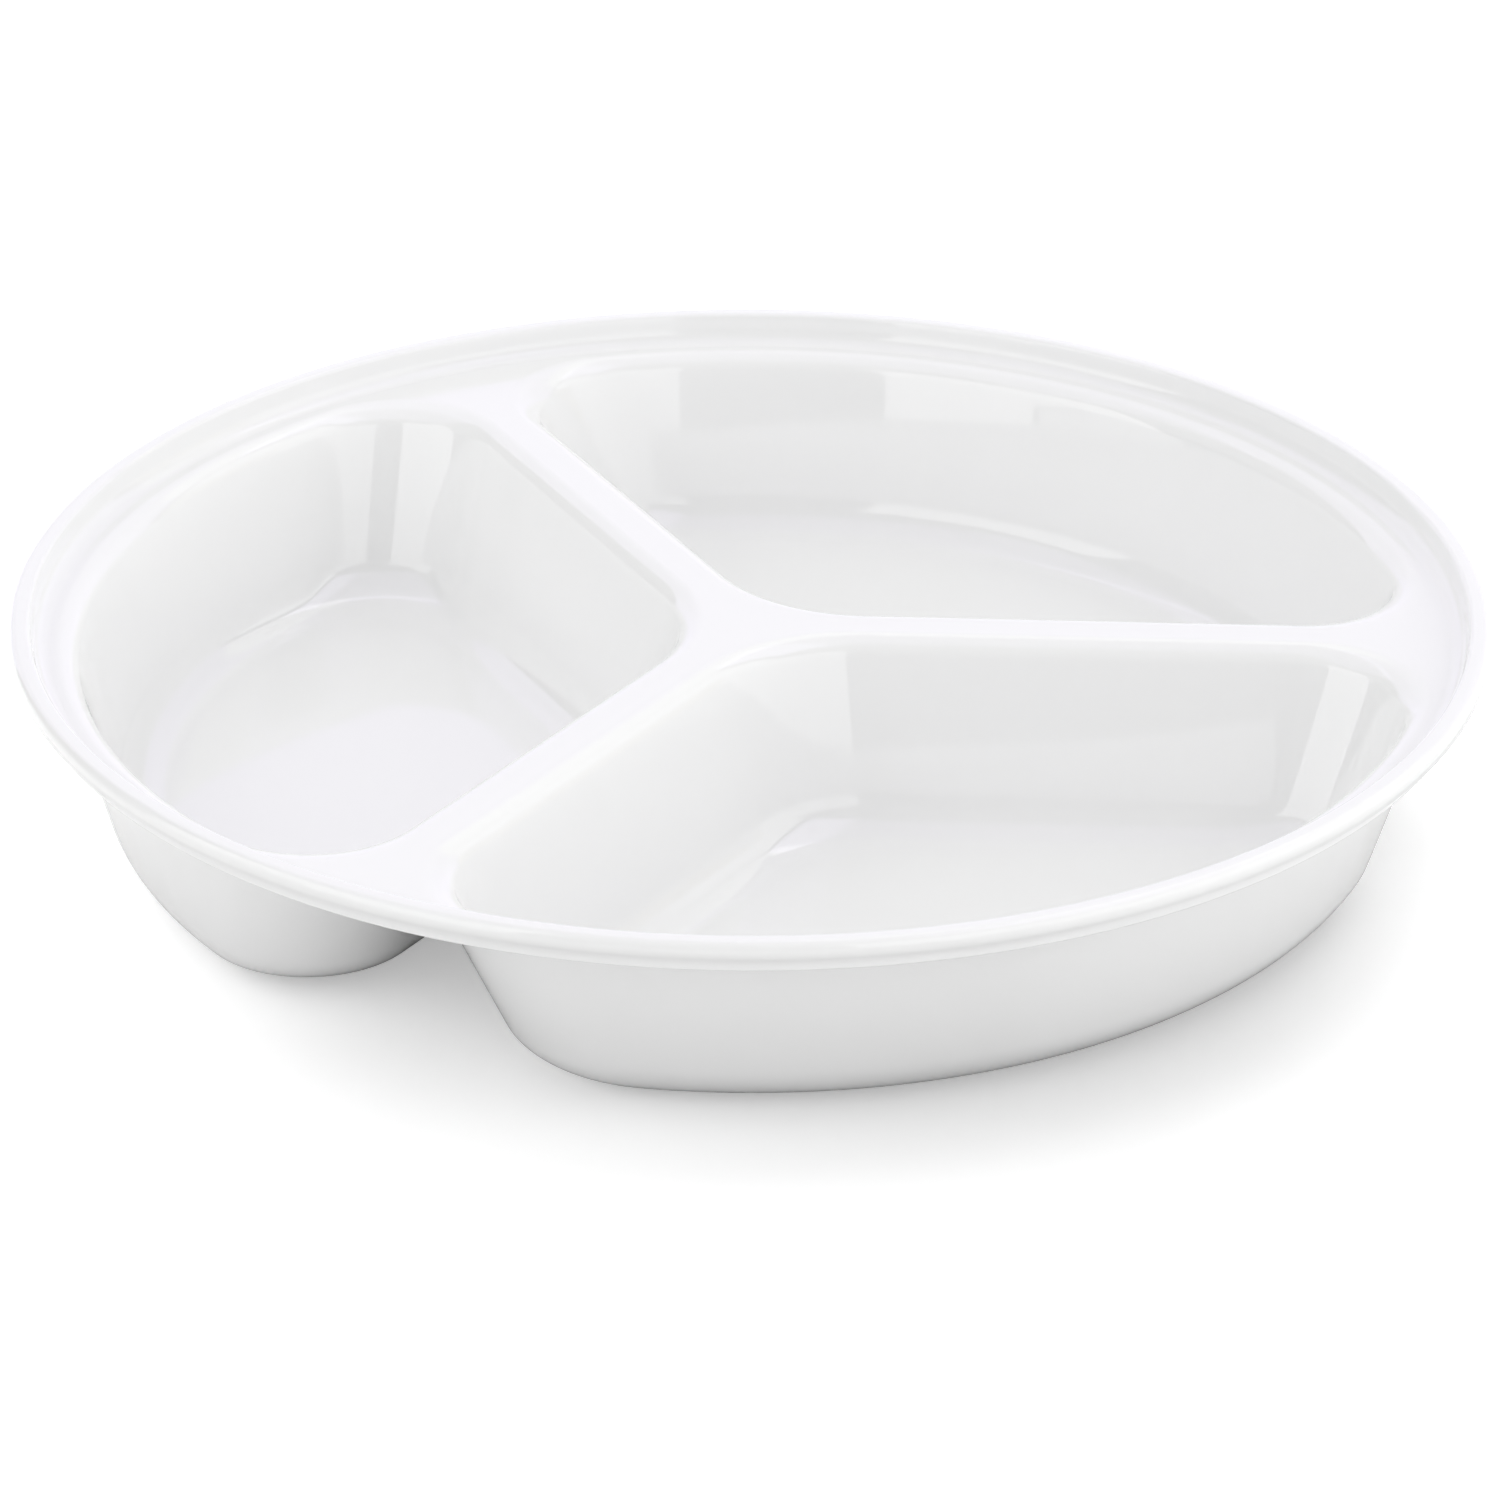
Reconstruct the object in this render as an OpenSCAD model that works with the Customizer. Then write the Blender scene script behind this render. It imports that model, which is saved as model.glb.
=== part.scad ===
// Divided compartment plate: a raised round rim, a flat deck with three dividers, and three hanging bowls.
// The plate stands on the bowls' floors at z = 0, its axis is Z, and one divider runs along +X.

/* [Plate] */
// Outside diameter of the rim
plate_d = 258; // [230:1:290]
// Height from the table to the crest of the rim
plate_h = 40; // [34:0.5:48]
// Thickness of the moulding
wall_t = 3; // [2:0.1:3.4]

/* [Rim] */
// Radius of the rounded outer edge of the lip
lip_r = 1.4; // [1:0.1:2.4]
// Depth of the lip's outer face below the crest
lip_drop = 2.9; // [2.8:0.1:3.4]
// How much the lip's underside falls towards the skirt
lip_fall = 0.6; // [0.2:0.1:1]
// How far the skirt under the lip stands in from the lip
skirt_inset = 1.9; // [1.4:0.1:2.4]
// Depth of the skirt's lower corner below the crest
skirt_drop = 5.9; // [5.5:0.1:7]
// Radius of the skirt's lower corner
skirt_r = 0.6; // [0.3:0.1:0.8]
// Width of the flat crest
crest_w = 1.5; // [1:0.1:2.5]
// Radius of the crest's inner edge
crest_r = 0.8; // [0.4:0.1:1.2]
// Depth of the deck below the crest
rim_drop = 5.3; // [4:0.1:6.5]
// Lean of the rim's inner face from upright, in degrees
rim_lean = 11; // [5:1:25]
// Radius at the foot of the rim's inner face
rim_foot_r = 3; // [1:0.1:3.4]

/* [Deck] */
// Width of the flat ledge between the rim and a bowl
ledge_w = 1; // [0.6:0.1:3]
// Width of a divider's flat top
divider_w = 5.2; // [4:0.1:9]

/* [Bowls] */
// Radius over which the deck turns down into a bowl
mouth_r = 4; // [3.5:0.1:6]
// Inside radius between a bowl's wall and its floor
foot_r = 8.5; // [4:0.5:10]
// Lean of a bowl's wall from upright, in degrees
bowl_lean = 15.5; // [8:0.5:20]
// How much further than that a wall by a divider has moved in at the floor
divider_spread = 2.2; // [0:0.1:5]
// Corner radius of a bowl in plan, at its mouth
mouth_corner_r = 20; // [14:0.5:26]
// Corner radius of a bowl in plan, at its floor
floor_corner_r = 16.5; // [12:0.5:24]
// Radius of a bowl's inner corner by the plate's axis, at its mouth
mouth_hub_r = 31; // [20:1:45]
// Radius of a bowl's inner corner by the plate's axis, at its floor
floor_hub_r = 24; // [18:1:40]

/* [Hidden] */

// Number of bowls, and the angle between a divider and a bowl's middle line
bowl_count = 3;
half_angle = 180 / bowl_count;
// Angle of each bowl's middle line
left_turn = 180;
back_turn = 60;
front_turn = 300;

// Segments of the turned pieces, and of the arcs that a bowl's plan and section are made of
turn_segments = 180;
outer_segments = 26;
corner_segments = 9;
hub_segments = 10;
mouth_segments = 5;
foot_segments = 6;
edge_segments = 6;
// How far a cut runs past the faces that it cuts
overrun = 1;

// Radii of the rim's parts about the plate's axis
plate_r = plate_d / 2;
crest_out_r = plate_r - lip_r;
crest_in_r = crest_out_r - crest_w;
skirt_out_r = plate_r - skirt_inset;
deck_r = crest_in_r - step_run(crest_r, rim_foot_r, rim_lean, rim_drop);
mouth_out_r = deck_r - ledge_w;
// Height of the deck's top, and the depth of a bowl below it
deck_z = plate_h - rim_drop;
bowl_drop = deck_z - wall_t;

shell_colour = "#f3f3f6";

// A step goes round a convex edge of radius r1, down a leaning face and round a foot of radius r2.
// Length of the leaning face, and the step's whole run
function face_length(r1, r2, lean, drop) = (drop - (r1 + r2) * (1 - sin(lean))) / cos(lean);
function step_run(r1, r2, lean, drop) = (r1 + r2) * cos(lean) + face_length(r1, r2, lean, drop) * sin(lean);

// Stations of a step: run, height and the two parts of the unit normal on its upper side
function edge_stations(r1, lean, count) = [
    for (i = [0:count])
        let (a = (90 - lean) * i / count)
        [r1 * sin(a), -r1 * (1 - cos(a)), sin(a), cos(a)]
];
function foot_stations(r1, r2, lean, drop, count) =
    let (
        face = face_length(r1, r2, lean, drop),
        x = (r1 + r2) * cos(lean) + face * sin(lean),
        z = r2 - drop
    )
    [
        for (i = [0:count])
            let (b = lean + (90 - lean) * i / count)
            [x - r2 * cos(b), z - r2 * sin(b), cos(b), sin(b)]
    ];
function step_stations(r1, r2, lean, drop, edge_count, foot_count) =
    concat(edge_stations(r1, lean, edge_count), foot_stations(r1, r2, lean, drop, foot_count));

// Points of an arc in a plane
function arc(x, y, r, from, to, count) = [
    for (i = [0:count])
        let (a = from + (to - from) * i / count)
        [x + r * cos(a), y + r * sin(a)]
];
function without_first(list) = [for (i = [1:len(list) - 1]) list[i]];
function without_last(list) = [for (i = [0:len(list) - 2]) list[i]];

// Plan of a bowl about +X: a sector between two dividers with its three corners rounded.
// half_w is the distance of its straight sides from the dividers' middle lines.
function bowl_plan(half_w, out_r, corner_r, hub_r) =
    let (
        off = half_w + corner_r,
        along = sqrt(pow(out_r - corner_r, 2) - pow(off, 2)),
        x = off * sin(half_angle) + along * cos(half_angle),
        y = along * sin(half_angle) - off * cos(half_angle),
        tip = atan2(y, x),
        side = 90 + half_angle
    )
    concat(
        arc(0, 0, out_r, -tip, tip, outer_segments),
        without_first(arc(x, y, corner_r, tip, side, corner_segments)),
        arc((half_w + hub_r) / sin(half_angle), 0, hub_r, side, 360 - side, hub_segments),
        without_last(arc(x, -y, corner_r, 360 - side, 360 - tip, corner_segments))
    );

// The plan at one station of a bowl's section; depth is 0 on the inside skin and wall_t on the outside one
function plan_at(station, depth) =
    let (
        share = -station[1] / bowl_drop,
        shift = depth * station[2]
    )
    bowl_plan(
        divider_w / 2 + station[0] + divider_spread * share - shift,
        mouth_out_r - station[0] + shift,
        mouth_corner_r + (floor_corner_r - mouth_corner_r) * share + shift,
        mouth_hub_r + (floor_hub_r - mouth_hub_r) * share + shift
    );
function ring_at(station, depth) = [
    for (p = plan_at(station, depth))
        [p[0], p[1], deck_z + station[1] - depth * station[3]]
];

bowl_stations = step_stations(mouth_r, foot_r, bowl_lean, bowl_drop, mouth_segments, foot_segments);
mouth_plan = plan_at(bowl_stations[0], 0);
floor_plan = plan_at(bowl_stations[len(bowl_stations) - 1], 0);

module rim() {
    inner = step_stations(crest_r, rim_foot_r, rim_lean, rim_drop, edge_segments, edge_segments);
    section = concat(
        [for (s = inner) [crest_in_r - s[0], plate_h + s[1]]],
        [[deck_r, deck_z - wall_t]],
        arc(skirt_out_r - skirt_r, plate_h - skirt_drop + skirt_r, skirt_r, -90, 0, edge_segments),
        [[skirt_out_r, plate_h - lip_drop - lip_fall], [plate_r, plate_h - lip_drop]],
        arc(crest_out_r, plate_h - lip_r, lip_r, 0, 90, edge_segments)
    );
    color(shell_colour)
    rotate_extrude($fn = turn_segments)
    polygon(section);
}

module divider_deck() {
    color(shell_colour)
    difference() {
        translate([0, 0, deck_z - wall_t])
        cylinder(r = deck_r, h = wall_t, $fn = turn_segments);
        for (i = [0:bowl_count - 1])
            rotate([0, 0, back_turn + i * 2 * half_angle])
            translate([0, 0, deck_z - wall_t - overrun])
            linear_extrude(wall_t + 2 * overrun)
            polygon(mouth_plan);
    }
}

// The side of a bowl from the deck down to its floor: one closed band of the section's rings
module bowl_wall(turn) {
    last = len(bowl_stations) - 1;
    inside = [for (s = bowl_stations) ring_at(s, 0)];
    outside = [for (i = [last:-1:0]) ring_at(bowl_stations[i], wall_t)];
    rings = concat(inside, outside);
    count = len(mouth_plan);
    total = len(rings);
    faces = [
        for (i = [0:total - 1], j = [0:count - 1], half = [0, 1])
            let (
                a = i * count + j,
                b = i * count + (j + 1) % count,
                c = ((i + 1) % total) * count + (j + 1) % count,
                d = ((i + 1) % total) * count + j
            )
            half == 0 ? [a, b, c] : [a, c, d]
    ];
    color(shell_colour)
    rotate([0, 0, turn])
    polyhedron(points = [for (r = rings) each r], faces = faces, convexity = 6);
}

module bowl_floor(turn) {
    color(shell_colour)
    rotate([0, 0, turn])
    linear_extrude(wall_t)
    polygon(floor_plan);
}

rim();
divider_deck();
bowl_wall(left_turn);  // left_wall
bowl_floor(left_turn);  // left_floor
bowl_wall(back_turn);  // back_wall
bowl_floor(back_turn);  // back_floor
bowl_wall(front_turn);  // front_wall
bowl_floor(front_turn);  // front_floor
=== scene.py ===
"""Divided compartment plate: a glossy white moulding with a stepped rim, three dividers and three bowls."""

import math

import bmesh
import bpy
from mathutils import Euler, Matrix, Vector


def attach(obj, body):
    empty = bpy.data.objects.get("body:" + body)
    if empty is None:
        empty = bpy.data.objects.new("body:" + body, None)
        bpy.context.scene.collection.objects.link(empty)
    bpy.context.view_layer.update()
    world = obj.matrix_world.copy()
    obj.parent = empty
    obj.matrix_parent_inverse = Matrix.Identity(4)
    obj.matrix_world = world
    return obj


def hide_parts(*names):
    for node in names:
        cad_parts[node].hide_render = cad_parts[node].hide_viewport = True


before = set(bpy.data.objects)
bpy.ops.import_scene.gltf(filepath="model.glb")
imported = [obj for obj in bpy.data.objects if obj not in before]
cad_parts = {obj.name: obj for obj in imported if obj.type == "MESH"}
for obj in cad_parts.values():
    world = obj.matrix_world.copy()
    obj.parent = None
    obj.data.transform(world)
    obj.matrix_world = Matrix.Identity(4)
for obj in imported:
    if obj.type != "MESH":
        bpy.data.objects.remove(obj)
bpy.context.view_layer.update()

# ---------------------------------------------------------------- sizes, in metres
MM = 0.001
PLATE_R = 129 * MM
CREST_Z = 40 * MM
WALL = 3 * MM

# Rim: rounded lip, its sloping underside, the skirt, the flat crest and the step down to the deck
LIP_R = 1.4 * MM
LIP_DROP = 2.9 * MM
LIP_FALL = 0.6 * MM
SKIRT_INSET = 1.9 * MM
SKIRT_DROP = 5.9 * MM
SKIRT_R = 0.6 * MM
CREST_W = 1.5 * MM
CREST_EDGE_R = 0.8 * MM
RIM_DROP = 5.3 * MM
RIM_LEAN = math.radians(11)
RIM_FOOT_R = 3 * MM

# Deck and bowls
LEDGE_W = 1 * MM
DIVIDER_W = 5.2 * MM
MOUTH_R = 4 * MM
FOOT_R = 8.5 * MM
BOWL_LEAN = math.radians(15.5)
DIVIDER_SPREAD = 2.2 * MM
MOUTH_CORNER_R, FLOOR_CORNER_R = 20 * MM, 16.5 * MM
MOUTH_HUB_R, FLOOR_HUB_R = 31 * MM, 24 * MM
HALF_ANGLE = math.radians(60)
BOWLS = {"left": math.radians(180), "back": math.radians(60), "front": math.radians(300)}

# Steps round the plate, along the rim's section, along a bowl's outline and down a bowl's side
TURN_STEPS = 360
CREST_STEPS, RIM_FACE_STEPS, RIM_FOOT_STEPS, SKIRT_STEPS, LIP_STEPS = 8, 3, 12, 8, 14
OUTER_STEPS, CORNER_STEPS, HUB_STEPS = 84, 26, 28
EDGE_STEPS, FACE_STEPS, FOOT_STEPS = 12, 6, 18

# Points within SAME are one, places within NEAR agree, and an upright face's normal rises less than UPRIGHT
SAME = 0.001 * MM
NEAR = 0.01 * MM
UPRIGHT = 0.01


def step_run(r1, r2, lean, drop):
    """How far a step goes sideways: convex edge of radius r1, leaning face, foot of radius r2."""
    face = (drop - (r1 + r2) * (1 - math.sin(lean))) / math.cos(lean)
    return (r1 + r2) * math.cos(lean) + face * math.sin(lean)


def step_stations(r1, r2, lean, drop, edge_steps, face_steps, foot_steps):
    """Stations down a step: run, height and the two parts of the upper side's normal."""
    upright = math.pi / 2 - lean
    stations = []
    for i in range(edge_steps + 1):
        a = upright * i / edge_steps
        stations.append((r1 * math.sin(a), -r1 * (1 - math.cos(a)), math.sin(a), math.cos(a)))
    foot = []
    run = step_run(r1, r2, lean, drop)
    for i in range(foot_steps + 1):
        b = lean + upright * i / foot_steps
        foot.append((run - r2 * math.cos(b), r2 - drop - r2 * math.sin(b), math.cos(b), math.sin(b)))
    top, low = stations[-1], foot[0]
    for i in range(1, face_steps):
        share = i / face_steps
        stations.append(tuple(p + (q - p) * share for p, q in zip(top, low)))
    return stations + foot


def arc(x, y, r, start, end, steps):
    angles = [start + (end - start) * i / steps for i in range(steps + 1)]
    return [(x + r * math.cos(a), y + r * math.sin(a)) for a in angles]


def bowl_plan(half_w, out_r, corner_r, hub_r):
    """A sector about +X between two dividers, with its three corners rounded."""
    off = half_w + corner_r
    along = math.sqrt((out_r - corner_r) ** 2 - off ** 2)
    x = off * math.sin(HALF_ANGLE) + along * math.cos(HALF_ANGLE)
    y = along * math.sin(HALF_ANGLE) - off * math.cos(HALF_ANGLE)
    hub_x = (half_w + hub_r) / math.sin(HALF_ANGLE)
    tip = math.atan2(y, x)
    side = math.pi / 2 + HALF_ANGLE
    return (arc(0, 0, out_r, -tip, tip, OUTER_STEPS)
            + arc(x, y, corner_r, tip, side, CORNER_STEPS)[1:]
            + arc(hub_x, 0, hub_r, side, 2 * math.pi - side, HUB_STEPS)
            + arc(x, -y, corner_r, 2 * math.pi - side, 2 * math.pi - tip, CORNER_STEPS)[:-1])


DECK_Z = CREST_Z - RIM_DROP
CREST_OUT_R = PLATE_R - LIP_R
CREST_IN_R = CREST_OUT_R - CREST_W
SKIRT_OUT_R = PLATE_R - SKIRT_INSET
DECK_R = CREST_IN_R - step_run(CREST_EDGE_R, RIM_FOOT_R, RIM_LEAN, RIM_DROP)
MOUTH_OUT_R = DECK_R - LEDGE_W
BOWL_DROP = DECK_Z - WALL
SECTION = step_stations(MOUTH_R, FOOT_R, BOWL_LEAN, BOWL_DROP, EDGE_STEPS, FACE_STEPS, FOOT_STEPS)


def bowl_ring(station, depth):
    """The bowl's outline at one station, depth below its inner skin."""
    run, height, out, up = station
    share, shift = -height / BOWL_DROP, depth * out
    plan = bowl_plan(
        DIVIDER_W / 2 + run + DIVIDER_SPREAD * share - shift,
        MOUTH_OUT_R - run + shift,
        MOUTH_CORNER_R + (FLOOR_CORNER_R - MOUTH_CORNER_R) * share + shift,
        MOUTH_HUB_R + (FLOOR_HUB_R - MOUTH_HUB_R) * share + shift)
    return [Vector((x, y, DECK_Z + height - depth * up)) for x, y in plan]


# ---------------------------------------------------------------- modelling helpers
def closed_loop(bm, points):
    verts = [bm.verts.new(p) for p in points]
    return [bm.edges.new((a, b)) for a, b in zip(verts, verts[1:] + verts[:1])]


def next_ring(bm, edges, place, points):
    """Extrudes a loop of edges and sends every new vertex to its place on the next outline."""
    grown = bmesh.ops.extrude_edge_only(bm, edges=edges)["geom"]
    for v in grown:
        if isinstance(v, bmesh.types.BMVert):
            v.co = points[v[place]]
    return [e for e in grown if isinstance(e, bmesh.types.BMEdge) and all(v in grown for v in e.verts)]


def thicken_down(bm, faces):
    """Makes level faces a plate of the wall's thickness, with the faces on top."""
    grown = bmesh.ops.extrude_face_region(bm, geom=faces)["geom"]
    lower = [v for v in grown if isinstance(v, bmesh.types.BMVert)]
    bmesh.ops.translate(bm, vec=(0, 0, -WALL), verts=lower)


def upright_faces(bm):
    return [f for f in bm.faces if abs(f.normal.z) < UPRIGHT]


def to_piece(bm, name, material, cuts):
    """Makes the mesh a piece. The faces in cuts are where the moulding goes on in the next piece."""
    bmesh.ops.recalc_face_normals(bm, faces=bm.faces)
    cuts = set(cuts)
    for f in bm.faces:
        f.smooth = f not in cuts
    for e in bm.edges:
        e.smooth = len({f in cuts for f in e.link_faces}) == 1
    # Extruding lists the faces in another order each run, so they are put in the order of their first edges.
    # From here on cuts no longer holds, and a cut face is one that isn't smooth.
    bm.verts.index_update()
    count = len(bm.verts)
    bm.faces.sort(key=lambda f: f.verts[0].index * count + f.verts[1].index)
    mesh = bpy.data.meshes.new(name)
    bm.to_mesh(mesh)
    bm.free()
    # The skins are level where two pieces meet, so the shading runs on without a line
    border = {v for poly in mesh.polygons if not poly.use_smooth for v in poly.vertices}
    normals = []
    for poly in mesh.polygons:
        for v in poly.vertices:
            level = poly.use_smooth and v in border
            normals.append((0, 0, math.copysign(1, poly.normal.z)) if level else (0, 0, 0))
    mesh.normals_split_custom_set(normals)
    mesh.materials.append(material)
    piece = bpy.data.objects.new(name, mesh)
    bpy.context.scene.collection.objects.link(piece)
    return piece


# ---------------------------------------------------------------- pieces
def make_rim(material):
    step = step_stations(CREST_EDGE_R, RIM_FOOT_R, RIM_LEAN, RIM_DROP,
                         CREST_STEPS, RIM_FACE_STEPS, RIM_FOOT_STEPS)
    section = [(CREST_IN_R - run, CREST_Z + height) for run, height, _, _ in step]
    section += [(DECK_R, DECK_Z - WALL)]
    section += arc(SKIRT_OUT_R - SKIRT_R, CREST_Z - SKIRT_DROP + SKIRT_R, SKIRT_R,
                   -math.pi / 2, 0, SKIRT_STEPS)
    section += [(SKIRT_OUT_R, CREST_Z - LIP_DROP - LIP_FALL), (PLATE_R, CREST_Z - LIP_DROP)]
    section += arc(CREST_OUT_R, CREST_Z - LIP_R, LIP_R, 0, math.pi / 2, LIP_STEPS)
    bm = bmesh.new()
    loop = closed_loop(bm, [(r, 0, z) for r, z in section])
    verts = [e.verts[0] for e in loop]
    bmesh.ops.spin(bm, geom=verts + loop, cent=(0, 0, 0), axis=(0, 0, 1), angle=2 * math.pi,
                   steps=TURN_STEPS, use_merge=True)
    bmesh.ops.remove_doubles(bm, verts=bm.verts, dist=SAME)
    bmesh.ops.recalc_face_normals(bm, faces=bm.faces)
    cuts = [f for f in upright_faces(bm) if f.calc_center_median().xy.length < DECK_R + NEAR]
    return to_piece(bm, "rim_moulding", material, cuts)


def make_deck(material):
    bm = bmesh.new()
    edges = closed_loop(bm, [(x, y, DECK_Z) for x, y in arc(0, 0, DECK_R, 0, 2 * math.pi, TURN_STEPS)[:-1]])
    for turn in BOWLS.values():
        spin = Matrix.Rotation(turn, 3, "Z")
        edges += closed_loop(bm, [spin @ p for p in bowl_ring(SECTION[0], 0)])
    top = bmesh.ops.triangle_fill(bm, edges=edges, use_beauty=True, normal=(0, 0, 1))["geom"]
    thicken_down(bm, [f for f in top if isinstance(f, bmesh.types.BMFace)])
    bmesh.ops.recalc_face_normals(bm, faces=bm.faces)
    return to_piece(bm, "deck_moulding", material, upright_faces(bm))


def make_bowl_side(name, turn, material):
    """One closed band: down the inner skin, round the floor's edge and up the outer skin."""
    rings = [bowl_ring(s, 0) for s in SECTION] + [bowl_ring(s, WALL) for s in reversed(SECTION)]
    bm = bmesh.new()
    place = bm.verts.layers.int.new("place")
    first = closed_loop(bm, rings[0])
    for i, e in enumerate(first):
        e.verts[0][place] = i
    last = first
    cuts = []
    for i, ring in enumerate(rings[1:], 1):
        last = next_ring(bm, last, place, ring)
        if i == len(SECTION):
            cuts += [e.link_faces[0] for e in last]
    cuts += bmesh.ops.bridge_loops(bm, edges=first + last)["faces"]
    bmesh.ops.rotate(bm, verts=bm.verts, matrix=Matrix.Rotation(turn, 3, "Z"))
    return to_piece(bm, name, material, cuts)


def make_bowl_floor(name, turn, material):
    bm = bmesh.new()
    loop = closed_loop(bm, bowl_ring(SECTION[-1], 0))
    thicken_down(bm, bmesh.ops.contextual_create(bm, geom=loop)["faces"])
    bmesh.ops.rotate(bm, verts=bm.verts, matrix=Matrix.Rotation(turn, 3, "Z"))
    return to_piece(bm, name, material, upright_faces(bm))


# ---------------------------------------------------------------- finish
MELAMINE_IOR = 1.55
# The two whites that the clouding runs between, and the roughness where the polish is best and worst
CLOUD_DARK, CLOUD_LIGHT = (0.866, 0.868, 0.866, 1), (0.878, 0.878, 0.878, 1)
POLISH_BEST, POLISH_WORST = 0.03, 0.06
WAVE_HEIGHT = 0.012 * MM
WAVE_STRENGTH = 0.25
# Scale, in patches per metre, and detail of each of the three patterns
CLOUDING, POLISHING, WAVINESS = (16, 3), (45, 4), (160, 2)


def glossy_white():
    """Moulded melamine: white with the faintest clouding, a polished skin with a little waviness."""
    mat = bpy.data.materials.new("glossy_white_melamine")
    mat.use_nodes = True
    nodes, links = mat.node_tree.nodes, mat.node_tree.links
    shader = nodes["Principled BSDF"]
    shader.inputs["IOR"].default_value = MELAMINE_IOR
    where = nodes.new("ShaderNodeTexCoord")

    def noise(scale, detail):
        n = nodes.new("ShaderNodeTexNoise")
        n.inputs["Scale"].default_value = scale
        n.inputs["Detail"].default_value = detail
        links.new(where.outputs["Object"], n.inputs["Vector"])
        return n.outputs["Fac"]

    tint = nodes.new("ShaderNodeMix")
    tint.data_type = "RGBA"
    tint.inputs["A"].default_value = CLOUD_DARK
    tint.inputs["B"].default_value = CLOUD_LIGHT
    links.new(noise(*CLOUDING), tint.inputs["Factor"])
    links.new(tint.outputs["Result"], shader.inputs["Base Color"])

    polish = nodes.new("ShaderNodeMapRange")
    polish.inputs["To Min"].default_value = POLISH_BEST
    polish.inputs["To Max"].default_value = POLISH_WORST
    links.new(noise(*POLISHING), polish.inputs["Value"])
    links.new(polish.outputs["Result"], shader.inputs["Roughness"])

    wave = nodes.new("ShaderNodeBump")
    wave.inputs["Strength"].default_value = WAVE_STRENGTH
    wave.inputs["Distance"].default_value = WAVE_HEIGHT
    links.new(noise(*WAVINESS), wave.inputs["Height"])
    links.new(wave.outputs["Normal"], shader.inputs["Normal"])
    return mat


white = glossy_white()
pieces = [(make_rim(white), "rim"), (make_deck(white), "divider_deck")]
for bowl, turn in BOWLS.items():
    pieces += [(make_bowl_side(bowl + "_bowl_side", turn, white), bowl + "_wall"),
               (make_bowl_floor(bowl + "_bowl_floor", turn, white), bowl + "_floor")]
for piece, node in pieces:
    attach(piece, "root")
    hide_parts(node)

# ---------------------------------------------------------------- table and world
TABLE_HALF = 6
TABLE_WHITE = (0.84, 0.84, 0.84, 1)
# How far the table is lifted for the camera alone: a little round the plate, and to white beyond the lamps
LIFT_NEAR, LIFT_FAR = 0.37, 1
LIFT_STARTS, LIFT_ENDS = 0.5, 1.1
# The world's dim light, and the white that the camera sees in its place past the table
FILL_LEVEL, BACKDROP_LEVEL = 0.2, 1
PURE_WHITE = (1, 1, 1, 1)


def make_table():
    bm = bmesh.new()
    bmesh.ops.create_grid(bm, x_segments=1, y_segments=1, size=TABLE_HALF)
    mesh = bpy.data.meshes.new("table")
    bm.to_mesh(mesh)
    bm.free()
    table = bpy.data.objects.new("table", mesh)
    bpy.context.scene.collection.objects.link(table)
    mat = bpy.data.materials.new("white_table")
    mat.use_nodes = True
    nodes, links = mat.node_tree.nodes, mat.node_tree.links
    shader = nodes["Principled BSDF"]
    shader.inputs["Base Color"].default_value = TABLE_WHITE
    shader.inputs["Roughness"].default_value = 1
    shader.inputs["Specular IOR Level"].default_value = 0
    where = nodes.new("ShaderNodeTexCoord")
    distance = nodes.new("ShaderNodeVectorMath")
    distance.operation = "LENGTH"
    links.new(where.outputs["Object"], distance.inputs[0])
    lift = nodes.new("ShaderNodeMapRange")
    lift.inputs["From Min"].default_value = LIFT_STARTS
    lift.inputs["From Max"].default_value = LIFT_ENDS
    lift.inputs["To Min"].default_value = LIFT_NEAR
    lift.inputs["To Max"].default_value = LIFT_FAR
    links.new(distance.outputs["Value"], lift.inputs["Value"])
    light_path = nodes.new("ShaderNodeLightPath")
    if_seen = nodes.new("ShaderNodeMath")
    if_seen.operation = "MULTIPLY"
    links.new(light_path.outputs["Is Camera Ray"], if_seen.inputs[0])
    links.new(lift.outputs["Result"], if_seen.inputs[1])
    shader.inputs["Emission Color"].default_value = PURE_WHITE
    links.new(if_seen.outputs["Value"], shader.inputs["Emission Strength"])
    mesh.materials.append(mat)
    return table


def make_world():
    world = bpy.data.worlds.new("studio")
    world.use_nodes = True
    nodes, links = world.node_tree.nodes, world.node_tree.links
    background = nodes["Background"]
    background.inputs["Color"].default_value = PURE_WHITE
    level = nodes.new("ShaderNodeMapRange")
    level.inputs["To Min"].default_value = FILL_LEVEL
    level.inputs["To Max"].default_value = BACKDROP_LEVEL
    light_path = nodes.new("ShaderNodeLightPath")
    links.new(light_path.outputs["Is Camera Ray"], level.inputs["Value"])
    links.new(level.outputs["Result"], background.inputs["Strength"])
    return world


table = make_table()
bpy.context.scene.world = make_world()

# ---------------------------------------------------------------- lamps
# The plate and the table have soft lamps of their own: in the photo the shadow falls to the front and right,
# though the plate is lit from there as well
ONLY_TABLE = bpy.data.collections.new("only_table")
ONLY_TABLE.objects.link(table)
ALL_BUT_TABLE = bpy.data.collections.new("all_but_table")
ALL_BUT_TABLE.objects.link(table)
ALL_BUT_TABLE.collection_objects[0].light_linking.link_state = "EXCLUDE"

NEUTRAL = (1, 1, 1)
COOL = (1.04, 0.955, 1.25)
WARM = (1.06, 1.0, 0.85)


def facing(middle, across, up):
    """The place of a lamp that shines away from across x up."""
    across, up = across.normalized(), up.normalized()
    turn = Matrix((across, up, across.cross(up))).transposed().to_4x4()
    return Matrix.Translation(middle) @ turn


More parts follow.
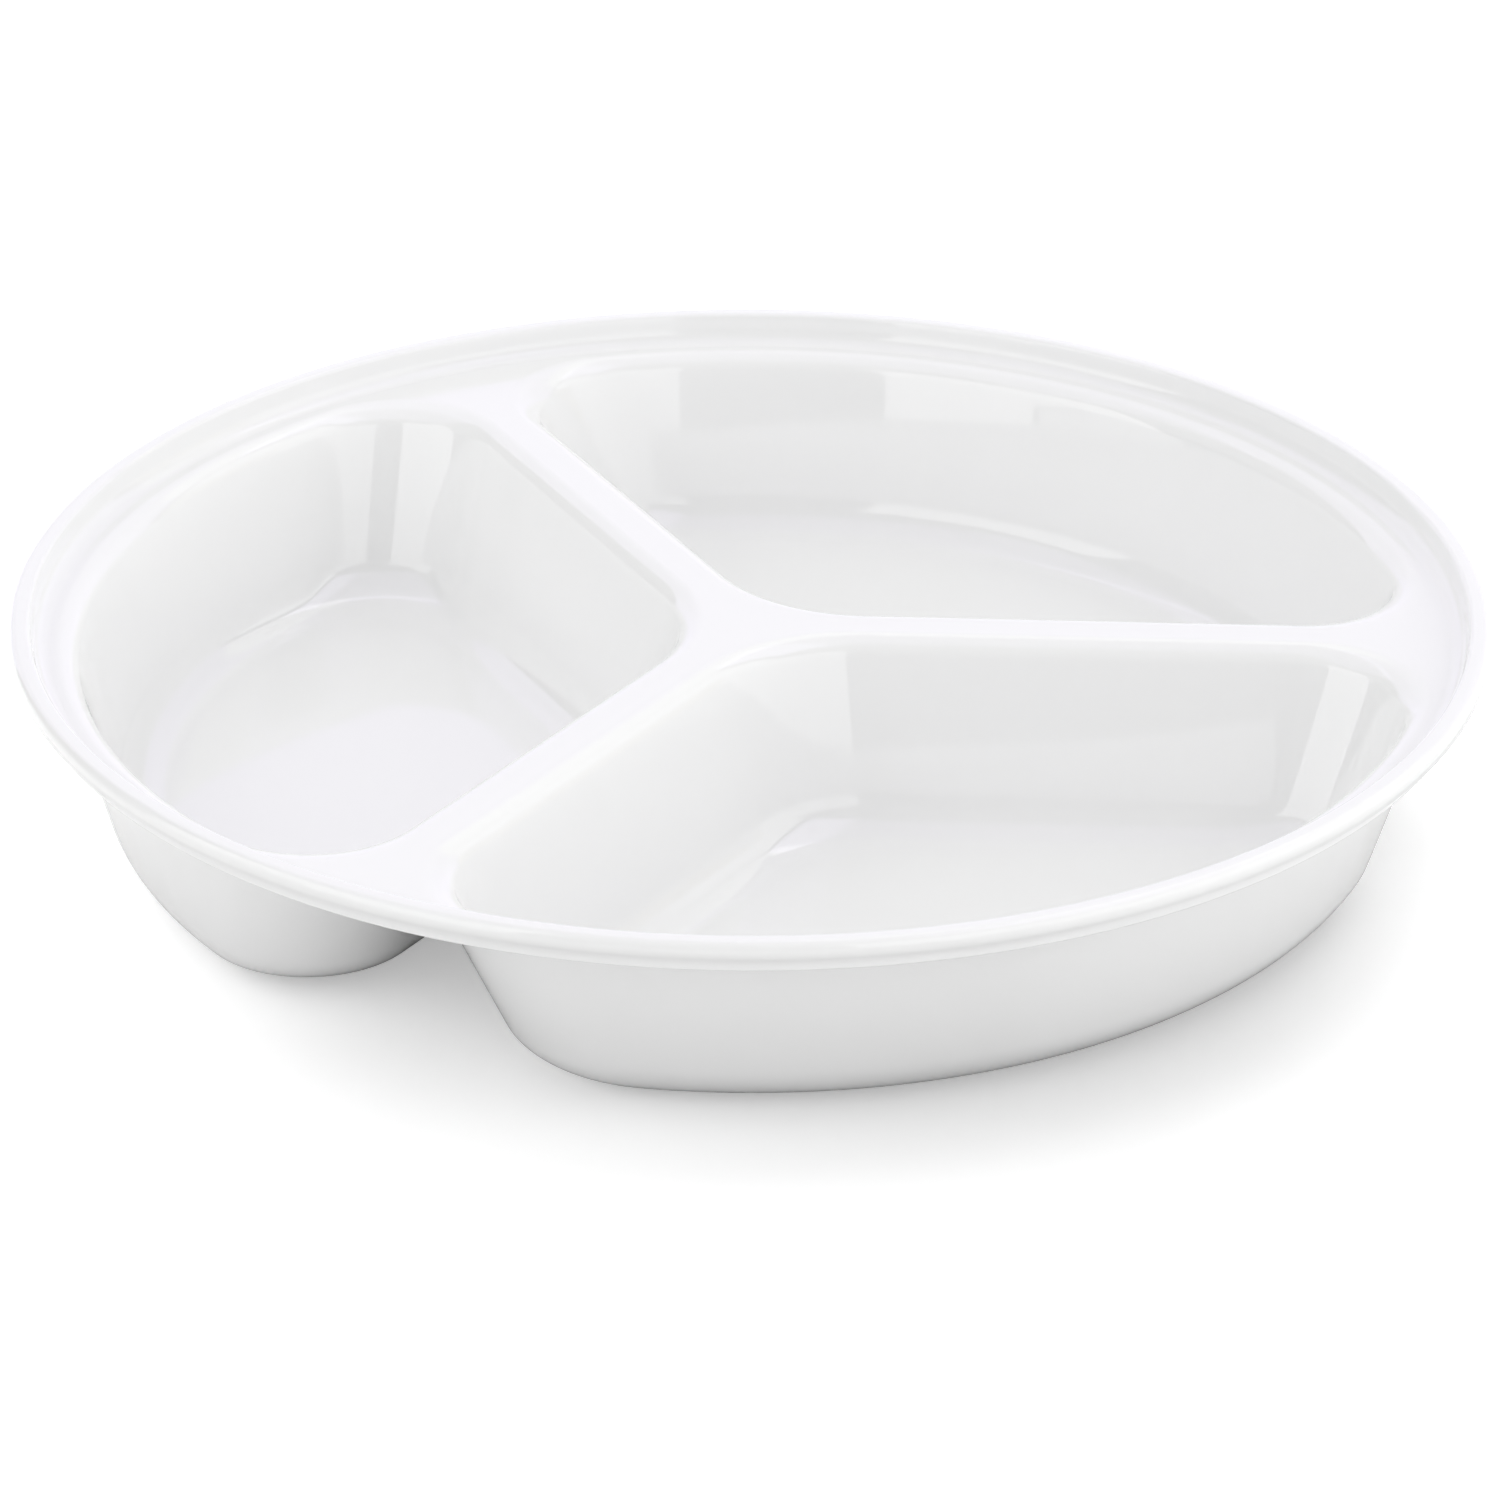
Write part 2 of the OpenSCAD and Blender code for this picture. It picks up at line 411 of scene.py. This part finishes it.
def standing(left, right, low, high):
    """Place, width and height of an upright lamp between two spots on the table, as seen from the plate."""
    left, right = Vector((*left, 0)), Vector((*right, 0))
    middle = (left + right) / 2 + Vector((0, 0, (low + high) / 2))
    return facing(middle, left - right, Vector((0, 0, 1))), (left - right).length, high - low


def hanging(middle, width, depth):
    """Place, width and depth of a level lamp overhead that faces down."""
    return facing(Vector(middle), Vector((1, 0, 0)), Vector((0, 1, 0))), width, depth


# Each lamp's name, place, level and colour. At level 1 it is as bright as a fully lit white card.
PANELS = [
    ("panel_right_front", standing((0.55, -0.20), (0.144, -0.50), 0, 0.45), 1.42, NEUTRAL),
    ("panel_right", standing((0.525, 0.10), (0.55, -0.20), 0, 0.6), 1.42, NEUTRAL),
    ("panel_right_far", standing((0.50, 0.40), (0.525, 0.10), 0, 0.3), 0.8, WARM),
    ("panel_right_far_high", standing((0.50, 0.40), (0.525, 0.10), 0.3, 0.6), 1.5, NEUTRAL),
    ("panel_left_front", standing((-0.135, -0.293), (-0.323, -0.236), 0, 0.42), 1.8, NEUTRAL),
    ("panel_left", standing((-0.323, -0.236), (-0.40, -0.06), 0.09, 0.42), 1.8, NEUTRAL),
    ("panel_left_low", standing((-0.43, -0.32), (-0.50, -0.05), 0, 0.1), 1.1, NEUTRAL),
    ("panel_back_low", standing((-0.7, 0.6), (0.7, 0.6), 0, 0.55), 0.94, COOL),
    ("panel_back_high_left", standing((-0.7, 0.6), (0, 0.6), 0.55, 1.1), 0.94, COOL),
    ("panel_back_high_right", standing((0, 0.6), (0.7, 0.6), 0.55, 1.1), 1.5, NEUTRAL),
    ("panel_overhead", hanging((-0.2, 0.15, 0.8), 0.8, 0.8), 0.72, COOL),
    ("panel_overhead_right", hanging((0.4, 0.15, 0.8), 0.4, 0.8), 1.5, COOL),
]
PLATE_LAMPS = [
    ("soft_right", standing((0.9, 0.8), (0.9, -0.8), 0, 1.2), 1.2, NEUTRAL),
    ("soft_left", standing((-0.9, -0.8), (-0.9, 0.8), 0.25, 1.2), 1.2, NEUTRAL),
    ("soft_back", standing((-0.8, 0.9), (0.8, 0.9), 0.35, 1.2), 0.69, NEUTRAL),
    ("soft_back_low", standing((-0.8, 0.9), (0.8, 0.9), 0, 0.35), 2.0, NEUTRAL),
    ("soft_front", standing((0.8, -0.9), (-0.8, -0.9), 0.15, 1.1), 0.87, NEUTRAL),
    ("soft_front_low", standing((0.8, -0.9), (-0.8, -0.9), 0, 0.15), 0.8, NEUTRAL),
    ("soft_right_low", standing((0.9, 0.2), (0.9, -0.9), 0, 0.15), 2.4, NEUTRAL),
    ("soft_overhead", hanging((0, 0, 1.2), 1.6, 1.6), 0.78, NEUTRAL),
    ("soft_middle", hanging((0, 0.1, 1.2), 0.5, 0.5), 1.6, NEUTRAL),
]
TABLE_LAMPS = [
    ("table_left", standing((-0.9, -0.8), (-0.9, 0.8), 0, 1.2), 1.79, NEUTRAL),
    ("table_back", standing((-0.9, 0.9), (0.9, 0.9), 0.35, 1.2), 2.81, NEUTRAL),
    ("table_overhead", hanging((-0.3, 0.3, 1.2), 1.2, 1.8), 1.37, NEUTRAL),
    ("table_overhead_right", hanging((0.6, 0.6, 1.2), 0.6, 1.2), 3.05, NEUTRAL),
]


def add_lamps(rows, gloss, lit):
    """Adds flat lamps that only the gloss shows, or that only the matt body under it is lit by."""
    for name, (place, width, height), level, colour in rows:
        data = bpy.data.lights.new(name, "AREA")
        data.shape = "RECTANGLE"
        data.size, data.size_y = width, height
        data.energy = level * math.pi * width * height
        data.color = colour
        lamp = bpy.data.objects.new(name, data)
        bpy.context.scene.collection.objects.link(lamp)
        lamp.matrix_world = place
        lamp.visible_camera = False
        lamp.visible_diffuse = not gloss
        lamp.visible_glossy = gloss
        lamp.light_linking.receiver_collection = lit


add_lamps(PANELS, gloss=True, lit=ALL_BUT_TABLE)
add_lamps(PLATE_LAMPS, gloss=False, lit=ALL_BUT_TABLE)
add_lamps(TABLE_LAMPS, gloss=False, lit=ONLY_TABLE)

# ---------------------------------------------------------------- camera
# Where it stands, from the plate's axis at the height of the crest: turn about Z, rise and distance
CAMERA_TURN = math.radians(2.559)
CAMERA_RISE = math.radians(25.339)
CAMERA_FAR = 1.17
# Which way it looks: down from level, a little aside from the plate's axis, and with its head tipped
AIM_DOWN = math.radians(26.720)
AIM_ASIDE = math.radians(0.061)
CAMERA_ROLL = math.radians(0.205)
LENS, FILM_WIDTH = 159.37, 36


def make_camera():
    data = bpy.data.cameras.new("camera")
    data.lens = LENS
    data.sensor_width = FILM_WIDTH
    camera = bpy.data.objects.new("camera", data)
    level = math.cos(CAMERA_RISE)
    direction = Vector((math.sin(CAMERA_TURN) * level, -math.cos(CAMERA_TURN) * level, math.sin(CAMERA_RISE)))
    camera.location = direction * CAMERA_FAR + Vector((0, 0, CREST_Z))
    aim = Euler((math.pi / 2 - AIM_DOWN, 0, CAMERA_TURN - AIM_ASIDE)).to_matrix()
    camera.rotation_euler = (aim @ Matrix.Rotation(CAMERA_ROLL, 3, "Z")).to_euler()
    bpy.context.scene.collection.objects.link(camera)
    return camera


bpy.context.scene.camera = make_camera()
bpy.context.scene.view_settings.view_transform = "Standard"
